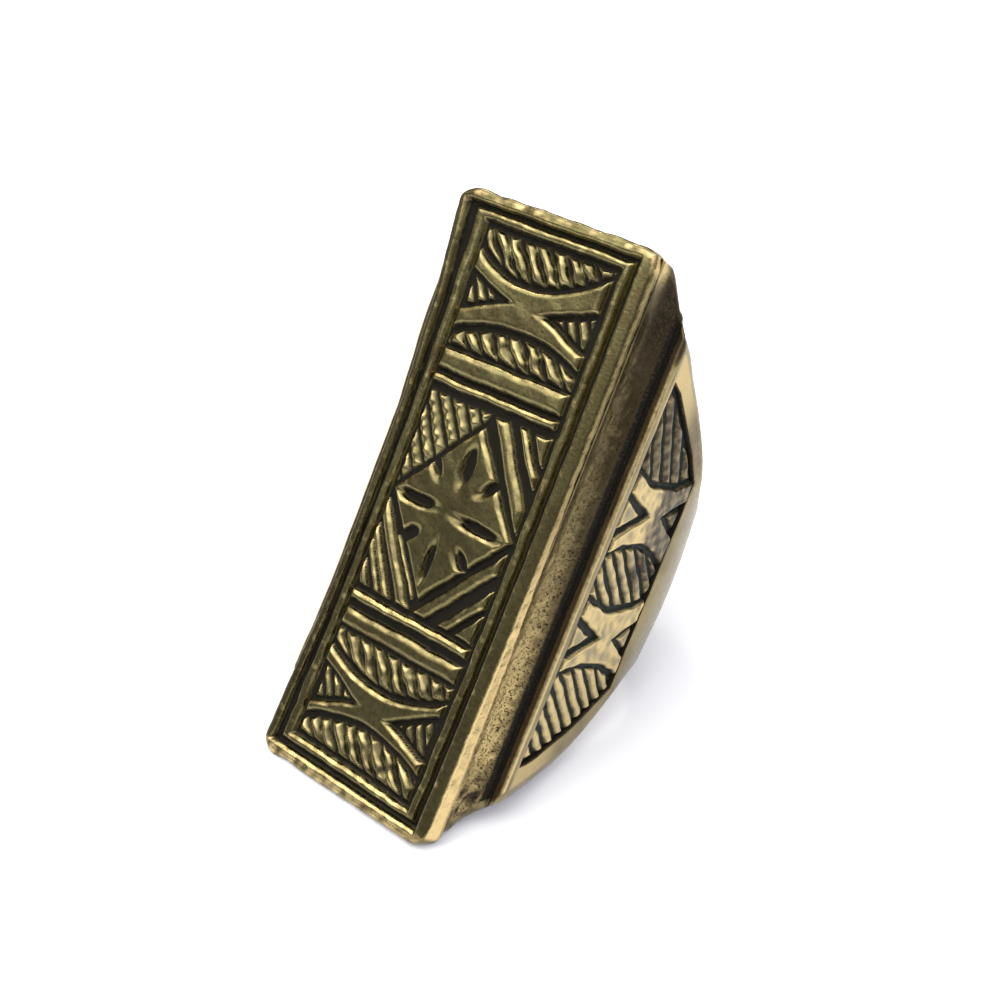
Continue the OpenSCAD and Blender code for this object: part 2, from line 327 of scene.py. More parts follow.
# Rope bands: the bow that each follows and the side of it, the height and slope of its far
# edge, a point on a strand, the strands' pitch and half width, and the gap to the bow
ROPES = [
    (UPPER_CROSS["top"], 1, (19.62, 0), (0.25, 18.3), 1.0, 0.46, 0.3),
    (UPPER_CROSS["low"], -1, (11.0, 0), (0.3, 12.2), 1.1, 0.5, 0.3),
    (LOWER_CROSS["top"], 1, (-10.98, 0.02), (0.35, -12.0), 1.06, 0.48, 0.28),
    (LOWER_CROSS["low"], -1, (-19.62, 0), (0.3, -18.0), 1.0, 0.46, 0.3)]
ROPE_WAY = (0.62, -0.785)
# Straight bars: middle height at the left and at the right end, and half width
BARS = [
    (9.94, 10.06, 0.83), (8.45, 8.55, 0.37), (-8.5, -8.28, 0.4), (-10.2, -9.95, 0.73)]
# Bars in the corners round the diamond: two points on the middle line, half width
CORNER_BARS = [
    ((1.1, 7.5), (5.3, 1.55), 0.54), ((3.05, 7.4), (5.35, 4.35), 0.31),
    ((5.4, -1.5), (0.55, -7.4), 0.52), ((5.4, -4.1), (2.8, -7.45), 0.43),
    ((-5.75, -1.5), (-1.25, -7.5), 0.46), ((-5.75, -3.25), (-2.75, -7.5), 0.31),
    ((-5.7, -4.35), (-3.55, -7.6), 0.29), ((-5.75, -6.2), (-5.0, -7.5), 0.34)]
# A thin low bar beside the diamond's lower left side
THIN_BAR = ((-5.35, -1.0), (-0.75, -6.65), 0.15)
# Triangles in the two right corners: two points of the sloping side, with the triangle on
# its left
CORNER_TRIANGLES = [((3.95, 7.5), (5.45, 5.3)), ((5.45, -5.2), (3.75, -7.6))]
# Half width and half length of the diamond, and half length of the field round it
DIAMOND_W, DIAMOND_L = 5.42, 6.58
MIDDLE_L = 7.62
# Direction of the beaded strands in the corner over the diamond's left
BEAD_WAY = (0.57, -0.82)
# Slits of the diamond: middle, half length, half width and turn
SLITS = [
    ((-0.1, 3.62), 1.15, 0.42, 0), ((-0.36, -3.8), 1.2, 0.27, 0),
    ((-3.2, -0.03), 1.35, 0.33, 92), ((2.55, -0.12), 1.4, 0.28, 88)]
# Notches in the diamond's sides, the same way
NOTCHES = [
    ((-2.75, 2.95), 0.85, 0.33, 38), ((2.4, 2.85), 0.85, 0.3, -48),
    ((-2.85, -2.65), 0.75, 0.36, -50), ((2.2, -2.75), 0.7, 0.36, 48)]


def cross_distance(x, y, cross):
    """Distance inside a cross: under its upper bow, over its lower bow, clear of the wedge
    at each side, and between the ends of its arms."""
    return np.minimum.reduce([
        parabola_gap(x, y, cross["top"], -1), parabola_gap(x, y, cross["low"], 1),
        wedge_clearance(x, y, *cross["left"]), wedge_clearance(x, y, *cross["right"]),
        x - FIELD_LEFT, FIELD_RIGHT - x])


def rope_level(x, y, field, start, pitch, half):
    """Strands of a rope: each is rounded across, and all of them fall away together
    towards the edge of their field."""
    bent = x + 0.1*ripple(x, y, 1.7, 15)
    strand = strand_distance(bent, y, start, ROPE_WAY, pitch, half)
    strand = strand + 0.06*ripple(x, y, 1.2, 16)
    round_strand = mound(np.minimum(strand, field), half)
    return round_strand*(0.4 + 0.6*shoulder(field, 0.9))


def wedge_field(x, y, tip, first, second, inset):
    """Distance inside the wedge of a cross, less an inset."""
    inside = -wedge_clearance(x, y, tip, first, second)
    return np.minimum(inside, np.minimum(x - FIELD_LEFT, FIELD_RIGHT - x)) - inset


def rim_distance(x, y):
    """Distance outside the border groove's outer edge."""
    return -box_distance(x, y, GROOVE_EDGE)


def tablet_level(x, y):
    """Height of the tablet's top over its floor, from 0 in the ground to 1 on the rim and
    the relief: the highest of all the forms at each point. A form's last factor is its own
    height."""
    u = x + 0.04*ripple(x, y, 2.8, 11) + 0.01*ripple(x, y, 0.9, 12)
    v = y + 0.04*ripple(x, y, 2.8, 13) + 0.01*ripple(x, y, 0.9, 14)
    side = np.minimum(u - FIELD_LEFT, FIELD_RIGHT - u)
    frame_line = np.minimum(box_distance(u, v, FRAME_OUT), -box_distance(u, v, FRAME_IN))
    forms = [mound(rim_distance(u, v), 0.3)*1.06, mound(frame_line, 0.34)*0.94]

    # crosses with hatched wedges, ropes along their bows, and straight bars
    for cross in (UPPER_CROSS, LOWER_CROSS):
        forms.append(shoulder(cross_distance(u, v, cross), 0.42)*0.98)
        for wedge in ("left", "right"):
            field = wedge_field(u, v, *cross[wedge], 0.22)
            strand = strand_distance(u, v, (cross[wedge][1][0], 0), HATCH_WAY, 0.86, 0.33)
            forms.append(mound(np.minimum(strand, field), 0.36)*0.58)
    for bow, sign, (far, slope), start, pitch, half, gap in ROPES:
        field = np.minimum.reduce([
            sign*(far + slope*u - v), parabola_gap(u, v, bow, sign) - gap, side + 0.05])
        forms.append(rope_level(u, v, field, start, pitch, half)*0.92)
    for left, right, half in BARS:
        lane = lane_distance(u, v, (FIELD_LEFT, left), (FIELD_RIGHT, right), half)
        forms.append(shoulder(np.minimum(lane, side), min(half, 0.6))*0.97)

    # the diamond with its slits and notches
    sides = 1 - np.abs(u + 0.06)/DIAMOND_W - np.abs(v + 0.05)/DIAMOND_L
    sides = sides*DIAMOND_L*DIAMOND_W/np.hypot(DIAMOND_L, DIAMOND_W)
    cuts = [lens_clearance(u, v, *slit) for slit in SLITS + NOTCHES]
    petal = np.minimum.reduce([sides, *cuts])
    forms.append(shoulder(petal, 0.4)*(0.94 + 0.05*shoulder(sides, 2.5)))

    # the corners round it: bars, triangles on the right and beads at the upper left
    middle = np.minimum(MIDDLE_L - np.abs(v), side)
    for a, b, half in CORNER_BARS:
        lane = np.minimum(lane_distance(u, v, a, b, half), middle)
        apart = np.minimum(lane, -sides - 0.22)
        forms.append(shoulder(apart, half*0.9)*0.92)
    thin = [lane_distance(u, v, *THIN_BAR), middle, -v - 3.0, -u - 0.6]
    forms.append(mound(np.minimum.reduce(thin), 0.15)*0.6)
    for a, b in CORNER_TRIANGLES:
        forms.append(shoulder(np.minimum(-line_distance(u, v, a, b), middle), 0.3)*0.9)
    corner = np.minimum.reduce([middle, -sides - 0.32, -u, v])
    beads = strand_distance(u, v, (-4.25, 7.4), BEAD_WAY, 1.06, 0.46)
    along = u*BEAD_WAY[0] + v*BEAD_WAY[1]
    dimple = 0.85 + 0.1*np.cos(2*np.pi*along/0.85) + 0.07*ripple(u, v, 0.8, 17)
    forms.append(mound(np.minimum(beads, corner), 0.44)*0.78*dimple)

    level = np.maximum.reduce(forms)
    return level*(1 + 0.022*ripple(x, y, 1.8, 21))


def tablet_lines(low, high):
    """Steps across the tablet: fine and even over the face, then finer round the rim and
    down its wall."""
    inner = np.linspace(low, high, round((high - low)/GRID) + 1)
    wrap = np.concatenate([
        np.linspace(0.1, FLAT, 9), FLAT + RIM_R*np.linspace(0.22, np.pi/2, 7),
        FLAT + RIM_R*np.pi/2 + WALL_WAY*np.array([0.2, 0.45, 0.7, 1.0])])
    return np.concatenate([low - wrap[::-1], inner, high + wrap])


def wall_profile(way):
    """The rim's profile against the way walked outwards: flat, a quarter round of RIM_R,
    then the wall. Gives how far out, how far down, and the share of the wall walked."""
    turn = np.clip((way - FLAT)/RIM_R, 0, np.pi/2)
    out = np.minimum(way, FLAT) + RIM_R*np.sin(turn)
    down = RIM_R*(1 - np.cos(turn))
    return out, down, np.clip((way - FLAT - RIM_R*np.pi/2)/WALL_WAY, 0, 1)


def saddle(y):
    """How far the face lies below its ends at a place along it: a parabola SAG deep."""
    return SAG*np.clip(1 - (y/HALF_L)**2, 0, 1)


def waist(y):
    """How far the left edge stands in at a place along the tablet, in its middle part."""
    return WAIST*(soft_step(y, -20.5, -8) - soft_step(y, 4, 13.5))


def left_pull(points):
    """The same for the metal on the left below the face, where it is a little more: whole
    down to the ridge, and gone by the middle of the cheek."""
    x, y, z = points[..., 0], points[..., 1], points[..., 2]
    return RIDGE_WAIST/WAIST*waist(y)*soft_step(z, -9.0, -4.2)*soft_step(-x, 6.8, 8.1)


def rubbed_rim(x, y, b, way, wall, side, out_x, out_y):
    """Where the rim shines, from 0 to 1: a painted highlight on the right wall under its edge and
    a little on the right rim's flat, which fades towards the upper end and is less on the upper
    end's wall; the flats of the two short sides in blots; and a painted highlight on the upper
    right corner."""
    right = soft_step(out_x, 0.7, 1.0)*(1 - 0.8*soft_step(np.abs(out_y), 0.2, 0.6))
    right = right*soft_step(way, PLAN_R - 0.75*RIM_R, PLAN_R + 0.1*RIM_R)
    right = right*(1 - 0.3*soft_step(y, -8, 14))*(1 - 0.5*soft_step(y, -10, 6))
    right = right*(1 - 0.9*soft_step(wall, 0.3, 0.7)*soft_step(y, 0, 12))
    edge = 0.22*soft_step(x, 7.2, 7.9)*soft_step(-y, -8, 14)
    blots = ripple(x, y, 1.4, 35)
    upper = soft_step(b, 21.15, 21.5)*(1 - 0.5*soft_step(-np.abs(x - 2.5), -3.5, -1))
    lower = soft_step(-b, 20.9, 21.1)*(1 - 0.6*side)
    bright = np.maximum.reduce([
        side*np.maximum(right, edge), upper*(0.45 + 0.5*blots), lower*(0.6 + 0.4*blots)])
    upper_wall = side*soft_step(np.abs(out_y), 0.3, 0.9)*soft_step(y, 0, 1)
    horn = side*soft_step(b, 19.6, 20.8)*soft_step(out_x, 0.3, 0.8)
    return np.maximum(np.clip(bright, 0, 1)*(1 - 0.7*upper_wall), 0.75*horn)


def face_stain(x, y, plan_x, side, out_y, ends):
    """Where the face is darkened, from 0 to 1: painted shade on the left and right rim, the lower
    half and the upper wall, and a darker diamond. On the short sides it turns to stain in blots."""
    diamond = 1 - np.abs(x)/DIAMOND_W - np.abs(y)/DIAMOND_L
    stain = 0.3*soft_step(-plan_x, 7.0, 7.7) + 0.4*soft_step(-y, -2, 14)
    stain = stain + (0.15 + 0.4*soft_step(y, -12, 2))*soft_step(x, 6.9, 7.6)
    stain = stain + 0.22*soft_step(diamond, 0.0, 0.1) + 0.15*soft_step(diamond, 0.25, 0.7)
    stain = stain + 0.5*side*soft_step(out_y, 0.3, 0.9)
    return np.clip(stain*(1 - 0.6*ends) + 0.2*ends*(1 + ripple(x, y, 1.5, 36)), 0, 1)


def build_tablet():
    """The tablet: a grid whose middle is the relief and whose margins wrap over the rim.
    Past the inner rectangle the way walked is the larger of the two overhangs, and its
    direction turns from one side to the other round a corner."""
    left, right = -LEFT_W + PLAN_R, RIGHT_W - PLAN_R
    low, high = -HALF_L + SHORTER + PLAN_R, HALF_L - PLAN_R
    a, b = np.meshgrid(tablet_lines(left, right), tablet_lines(low, high))
    over_x = np.maximum(a - right, 0) - np.maximum(left - a, 0)
    over_y = np.maximum(b - high, 0) - np.maximum(low - b, 0)
    way = np.maximum(np.abs(over_x), np.abs(over_y))
    size = np.maximum(np.hypot(over_x, over_y), TINY)
    out_x, out_y = over_x/size, over_y/size
    out, down, wall = wall_profile(way)
    # the upper right corner is squarer than the others, and the wall slants at the lower end
    square = 0.35*soft_step(a, 2, 6)*soft_step(b, 10, 18)
    slant = 0.06 + 0.36*soft_step(-b, -6, 16)
    reach = (out + slant*wall*out_x**2)*((1 - square)/size + square/np.maximum(way, TINY))
    x = np.clip(a, left, right) + over_x*reach
    y = np.clip(b, low, high) + over_y*reach

    level = tablet_level(x, y)
    top = -(FLOOR*(1 - level) + TOP*level)
    rim = soft_step(rim_distance(x, y), 0.1, 0.35)
    top = top*(1 - rim) - 0.07*rim*soft_step(way, 0.35, FLAT)
    edge = -saddle(y) - down
    z = np.where(wall > 0, edge + wall*(-RIM_FOOT - edge), edge + top)
    hollow, crest = hollows_and_crests(top, GRID, 0.42, 0.3, 0.12)
    # slopes of the top: those that look down the tablet or to its left get painted shade
    slope_y, slope_x = np.gradient(top, b[:, 0], a[0])
    shade = np.clip((0.9*slope_y + 0.2*slope_x - 0.15)/0.8, 0, 1)
    shade = shade*(1 - 0.6*soft_step(rim_distance(x, y), 0.0, 0.1))
    # painted highlight: the crests' bright wear is kept mostly to slopes that look up the tablet,
    # broken up at random
    rubbed = 0.15 + 0.75*np.clip(-slope_y/0.8, 0, 1) + 0.25*ripple(x, y, 1.0, 37)

    # dents in the rim and its wall
    side = soft_step(way, FLAT, FLAT + 0.6*RIM_R)
    ends = soft_step(np.abs(b), 20.6, 21.3)
    dent = side*(0.02*ripple(x, y, 1.9, 31) + 0.008*ripple(x, y + 2*z, 0.7, 32))
    y = y + 0.035*out_y*side*ripple(x, 0, 1.8, 34)
    z = z - 0.018*ends*ripple(x, 0.4*y, 1.6, 33)
    x, y = x + dent*out_x, y + dent*out_y
    # the left edge is waisted and stands out at both ends, the upper edge runs askew, and
    # the lower rim has a lip
    plan_x = x
    bulge = 0.4*soft_step(y, 15, 21.5)**2 + 0.45*soft_step(y, 13, 18)
    bulge = bulge + 0.12*soft_step(-y, 8, 20) + 0.3*soft_step(-y, 20, 21.8)
    x = x + (waist(y) - bulge)*soft_step(-x, 5.5, 8.0)
    y = y - 0.02*(x - 1)*soft_step(y, 17, 21)
    y = y - (0.28 - 0.022*x)*soft_step(-y, 19.5, 21.8)*(1 - wall)

    # the ground and the hollows hold patina; the hollow mask also takes the slopes' painted shade
    floor = np.clip((-top - 0.42)/0.25, 0, 1)
    # painted shade over the left groove and the lower slopes beside it
    left_groove = soft_step(-plan_x, 6.0, 6.2)*np.clip((0.7 - level)/0.3, 0, 1)
    hollow = np.maximum.reduce([0.7*hollow, floor, 0.85*shade, left_groove])*(1 - side)
    # painted shade over the tablet's left wall
    hollow = np.maximum(hollow, 0.65*side*soft_step(-out_x, 0.5, 0.9))
    # painted highlight on the rim's right wall and upper right corner, with bright blots on the
    # short sides
    bright = rubbed_rim(x, y, b, way, wall, side, out_x, out_y)
    # painted shade and stains, less where the rim is painted bright
    stain = face_stain(x, y, plan_x, side, out_y, ends)*(1 - 0.6*bright)
    rows, columns = x.shape
    # crest: wear with a painted highlight on upward slopes; wall: painted highlight on the rim;
    # stain: stains and painted shade; hollow: patina and painted shade
    return new_piece(
        "tablet", np.stack([x, y, z], axis=2).reshape(-1, 3), sheet_quads(rows, columns),
        [rim_of(rows, columns)[::-1]],
        hollow=hollow, crest=crest*rubbed*(1 - side), wall=bright, stain=stain)


# ---- the cheeks ----

# The grid's step, the height of the relief, the gap between a bow and the hatching beside
# it, and how far in the flat back of a relief panel lies
CHEEK_GRID = 0.075
PANEL_FLOOR = 0.46
BOW_GAP = 0.29
PANEL_BACK = 9.85
# Bows of the two crosses: place along the ring at a depth, as height, slope and bend of a
# parabola about the field's middle depth. The near bow faces the oval.
CHEEK_MID = 8.55
FIRST_CROSS = dict(
    far=(6.98, 0.0, 0.048), near=(2.68, 0.012, -0.062),
    top=((4.85, 8.4), (6.3, 4.6), (2.9, 4.6)), low=((4.9, 10.4), (6.35, 13.0), (3.7, 13.0)))
SECOND_CROSS = dict(
    far=(-6.65, 0.0, -0.042), near=(-2.5, -0.012, 0.05),
    top=((-4.6, 8.35), (-3.0, 4.6), (-6.2, 4.6)), low=((-4.65, 10.5), (-3.3, 13.0), (-5.95, 13.0)))


def cheek_line(depth):
    """Half width of the ring under the ridge, which widens evenly downwards."""
    return RIDGE_X + SPREAD*(depth - RIDGE_DEPTH)/(SHANK_Z - RIDGE_DEPTH)


def cheek_surface(depth):
    """Half width of the ring at a cheek: straight from the ridge to the widest place, and
    a circle below it."""
    below = np.clip(depth - SHANK_Z, 0, SHANK_R)
    straight = cheek_line(np.clip(depth, RIDGE_DEPTH, SHANK_Z))
    return np.where(depth < SHANK_Z, straight, np.sqrt(SHANK_R**2 - below**2))


def field_half(y_sign, depth):
    """Half length of the sunken field at a depth, towards the upper or lower end."""
    places, depths = np.array(UPPER_FIELD if y_sign > 0 else LOWER_FIELD).T
    return np.interp(depth, depths, places)


def cheek_cross(p, q, cross, sign):
    """Distance inside a cheek's cross: between its bows and clear of its two wedges."""
    across = q - CHEEK_MID
    return np.minimum.reduce([
        parabola_gap(across, p, cross["far"], -sign),
        parabola_gap(across, p, cross["near"], sign),
        wedge_clearance(p, q, *cross["top"]), wedge_clearance(p, q, *cross["low"]),
        q - FIELD_TOP - 0.35, FIELD_LOW + 0.07 - q])


def cheek_level(y, depth):
    """Height of a cheek's relief over its ground, from 0 to 1: two crosses between bows,
    an oval of strands between them, and hatching in the two ends. Gives the crosses'
    share of it too."""
    p = y + 0.06*ripple(y, depth, 1.9, 41)
    q = depth + 0.05*ripple(y, depth, 1.9, 42)
    across = q - CHEEK_MID
    edge = np.minimum.reduce([
        q - FIELD_TOP - 0.35, FIELD_LOW + 0.02 - q,
        field_half(1, q) - p - 0.34, field_half(-1, q) + p - 0.22])
    crosses = np.maximum(*(
        shoulder(cheek_cross(p, q, cross, sign), 0.26)
        for cross, sign in ((FIRST_CROSS, 1), (SECOND_CROSS, -1))))
    forms = [crosses]
    for cross in (FIRST_CROSS, SECOND_CROSS):
        for wedge in ("top", "low"):
            field = np.minimum(-wedge_clearance(p, q, *cross[wedge]) - 0.4, edge - 0.08)
            forms.append(mound(field, 0.3)*0.7)
    above = parabola_gap(across, p, FIRST_CROSS["far"], 1) - BOW_GAP
    under_first = parabola_gap(across, p, FIRST_CROSS["near"], -1) - BOW_GAP
    over_second = parabola_gap(across, p, SECOND_CROSS["near"], 1) - BOW_GAP
    below = parabola_gap(across, p, SECOND_CROSS["far"], -1) - BOW_GAP - 0.02
    # field, a point on a strand, its direction, pitch, half width, rounding and height
    hatching = [
        (np.minimum(under_first, over_second), (0.05, 7.0), (-0.633, 0.774),
         1.12, 0.42, 0.4, 0.85),
        (above, (13.06, 5.14), (-0.807, 0.59), 1.28, 0.5, 0.45, 0.82),
        (below, (-7.44, 7.92), (-0.644, 0.765), 1.09, 0.44, 0.42,
         0.5 + 0.38*soft_step(q, 4.8, 6.0))]
    for field, start, way, pitch, half, width, height in hatching:
        strand = strand_distance(p, q, start, way, pitch, half)
        forms.append(mound(np.minimum.reduce([strand, field, edge]), width)*height)
    level = np.maximum.reduce(forms)
    return level*(1 + 0.03*ripple(y, depth, 1.5, 43)), crosses


def build_cheek(name, side):
    """A cheek's relief panel: rows at even depths, columns that spread with the field's
    own outline, and a flat back inside the metal."""
    depth = np.linspace(FIELD_TOP - 0.1, FIELD_LOW + 0.1, 121)[:, None]
    across = np.linspace(-1, 1, 391)[None, :]
    y = across*np.where(across > 0, field_half(1, depth) + 0.1, field_half(-1, depth) + 0.1)
    depth = np.broadcast_to(depth, y.shape)
    level, crosses = cheek_level(y, depth)
    x = cheek_surface(depth) - PANEL_FLOOR*(1 - level) - 0.03

    hollow, crest = hollows_and_crests(level*PANEL_FLOOR, CHEEK_GRID, 0.4, 0.22, 0.1)
    flank = np.where(
        crosses > 0, np.clip((0.84 - crosses)/0.35, 0, 1), np.clip((0.55 - level)/0.4, 0, 1))
    # painted shade in brown over the upper hatching, on the lower half of the upper cross and on
    # the oval, broken up at random
    from_oval = -np.abs(y - 0.2)
    brown = np.maximum.reduce([
        0.85*soft_step(y, 6.9, 7.7), 0.25*soft_step(from_oval, -2.6, -2.0),
        0.9*soft_step(depth, 8.3, 9.6)*soft_step(y, -2.0, 0.5)])
    brown = np.clip(brown + 0.2*ripple(y, depth, 1.1, 44), 0, 1)
    # gold on the crosses, and a painted sheen in gold on the lower hatching and the oval's upper
    # half
    low_end = soft_step(-y, 6.5, 7.2)*(1.1 - 0.6*soft_step(depth, 8.5, 11.5))
    oval = 0.8*soft_step(from_oval, -2.3, -1.8)*(1 - soft_step(depth, 6, 9))
    gilt = np.maximum(crosses, level*np.maximum(low_end, oval))
    gilt = gilt*(0.7 + 0.3*ripple(y, depth, 1.4, 45))

    front = np.stack([side*x, y, -depth], axis=2).reshape(-1, 3)
    rows, columns = y.shape
    rim = rim_of(rows, columns)
    back = front[rim].copy()
    back[:, 0] = side*PANEL_BACK
    points = np.vstack([front, back])
    points[:, 0] += left_pull(points)
    cap = len(front) + np.arange(len(rim))
    wall = np.stack([rim, np.roll(rim, -1), np.roll(cap, -1), cap], axis=1)
    masks = {
        mask: np.concatenate([values.ravel(), np.full(len(rim), at_back)])
        for mask, values, at_back in (
            ("hollow", np.maximum(hollow, flank), 1.0), ("crest", crest, 0.0),
            ("brown", brown, 1.0), ("gilt", gilt, 0.0))}
    quads = np.vstack([sheet_quads(rows, columns)[:, ::-1], wall])
    return new_piece(name, points, quads, [cap], **masks)


# ---- the shank, with the coves, ledges and borders of the cheeks ----

# Depth of the recess that holds a relief panel, rounding of the finger hole's mouth, and
# how many rows round the edge of an end
RECESS = 0.62
MOUTH_R = 0.35
EDGE_ROWS = 10
# The cove's lower end, how deep it is hollowed, and the middle and radius of the ridge
COVE_FOOT, COVE_SAG = (9.5, -3.42), 0.4
RIDGE_MIDDLE, RIDGE_R = (10.3, -3.74), 0.32


def quarter(centre, radius, start, end, steps):
    """Points on an arc about a centre, from one angle to another in degrees."""
    turn = np.radians(np.linspace(start, end, steps))
    return np.stack([centre[0] + radius*np.cos(turn), centre[1] + radius*np.sin(turn)], axis=1)


def right_half_section():
    """The right half of the shank's cross-section, from the middle under the tablet round
    to the middle of the back: X against Z, with masks that say where it is dirty, pitted,
    brown, bright with wear and a painted highlight along the ridge, and part of the cove or the
    ledge."""
    # the metal under the tablet, the lip beside its foot, and the cove: a parabola that bows
    # in from the straight line between its ends
    under = np.stack([np.linspace(0.0, 7.8, 9), np.full(9, -0.98)], axis=1)
    lip = np.array([(8.02, -0.98), (8.14, -0.99), (8.22, -1.02), (8.26, -1.08)])
    t = np.linspace(0, 1, 27)[1:]
    top = lip[-1]
    way = COVE_FOOT - top
    inward = np.array((way[1], -way[0]))/np.hypot(*way)
    cove = top + t[:, None]*way + COVE_SAG*(4*t*(1 - t))[:, None]*inward
    # the groove at its foot, the narrow ledge, and the ridge's round edge
    corner = np.array([(9.56, -3.62), (9.64, -3.7), (9.73, -3.66), (9.8, -3.54)])
    ledge = np.stack([np.linspace(9.87, 10.28, 5), np.linspace(-3.47, -3.42, 5)], axis=1)
    ridge = quarter(RIDGE_MIDDLE, RIDGE_R, 86, 4, 9)
    # the cheek, with close lines at both edges of its field, and the band's circle
    depths = np.unique(np.concatenate([
        np.linspace(3.85, FIELD_TOP - 0.12, 2), FIELD_TOP + np.array([-0.08, -0.04, 0.0, 0.05]),
        np.linspace(FIELD_TOP + 0.2, FIELD_LOW - 0.2, 30),
        FIELD_LOW + np.array([-0.05, 0.0, 0.04, 0.1, 0.2])]))
    cheek = np.stack([cheek_line(depths), -depths], axis=1)
    band = quarter((0, -SHANK_Z), SHANK_R, -1.5, -90, 46)
    parts = [under, lip, cove, corner, ledge, ridge, cheek, band]

    def along(values):
        """One mask round the section, from a value or a row of values for each part."""
        return np.concatenate([np.broadcast_to(v, len(p)) for v, p in zip(values, parts)])

    dirty = along([
        0, [0, 0.1, 0.35, 0.35], 0.95*soft_step(t, 0.76, 0.97), [1, 1, 1, 0.95],
        [0.85, 0.7, 0.5, 0.3, 0.1], 0, 0, 0])
    in_cove = (0.3 + 0.7*soft_step(t, 0.05, 0.5))*(1 - 0.8*soft_step(t, 0.85, 1))
    pitted = along([0, 0, in_cove, 0.2, 0.3, 0, 0, 0])
    brown = along([0, 0, 0.5*soft_step(t, 0.5, 1.0), 1, 1, np.linspace(0.9, 0, 9)**2, 0, 0])
    # bright wear with a painted highlight across the ridge's round
    worn = along([0, 0, 0, 0, 0, np.sin(np.linspace(0.2, np.pi, 9)), 0, 0])
    deep = along([0, 0.2, 0.25 + 0.75*soft_step(t, 0.0, 0.5), 1, 1, 0, 0, 0])
    return np.vstack(parts), dirty, pitted, brown, worn, deep


def outward(line):
    """Directions that point out of the metal along a section, square to the line through
    each point's two neighbours."""
    step = np.roll(line, -1, axis=0) - np.roll(line, 1, axis=0)
    normal = np.stack([-step[:, 1], step[:, 0]], axis=1)
    return normal/np.maximum(np.hypot(normal[:, 0], normal[:, 1]), TINY)[:, None]


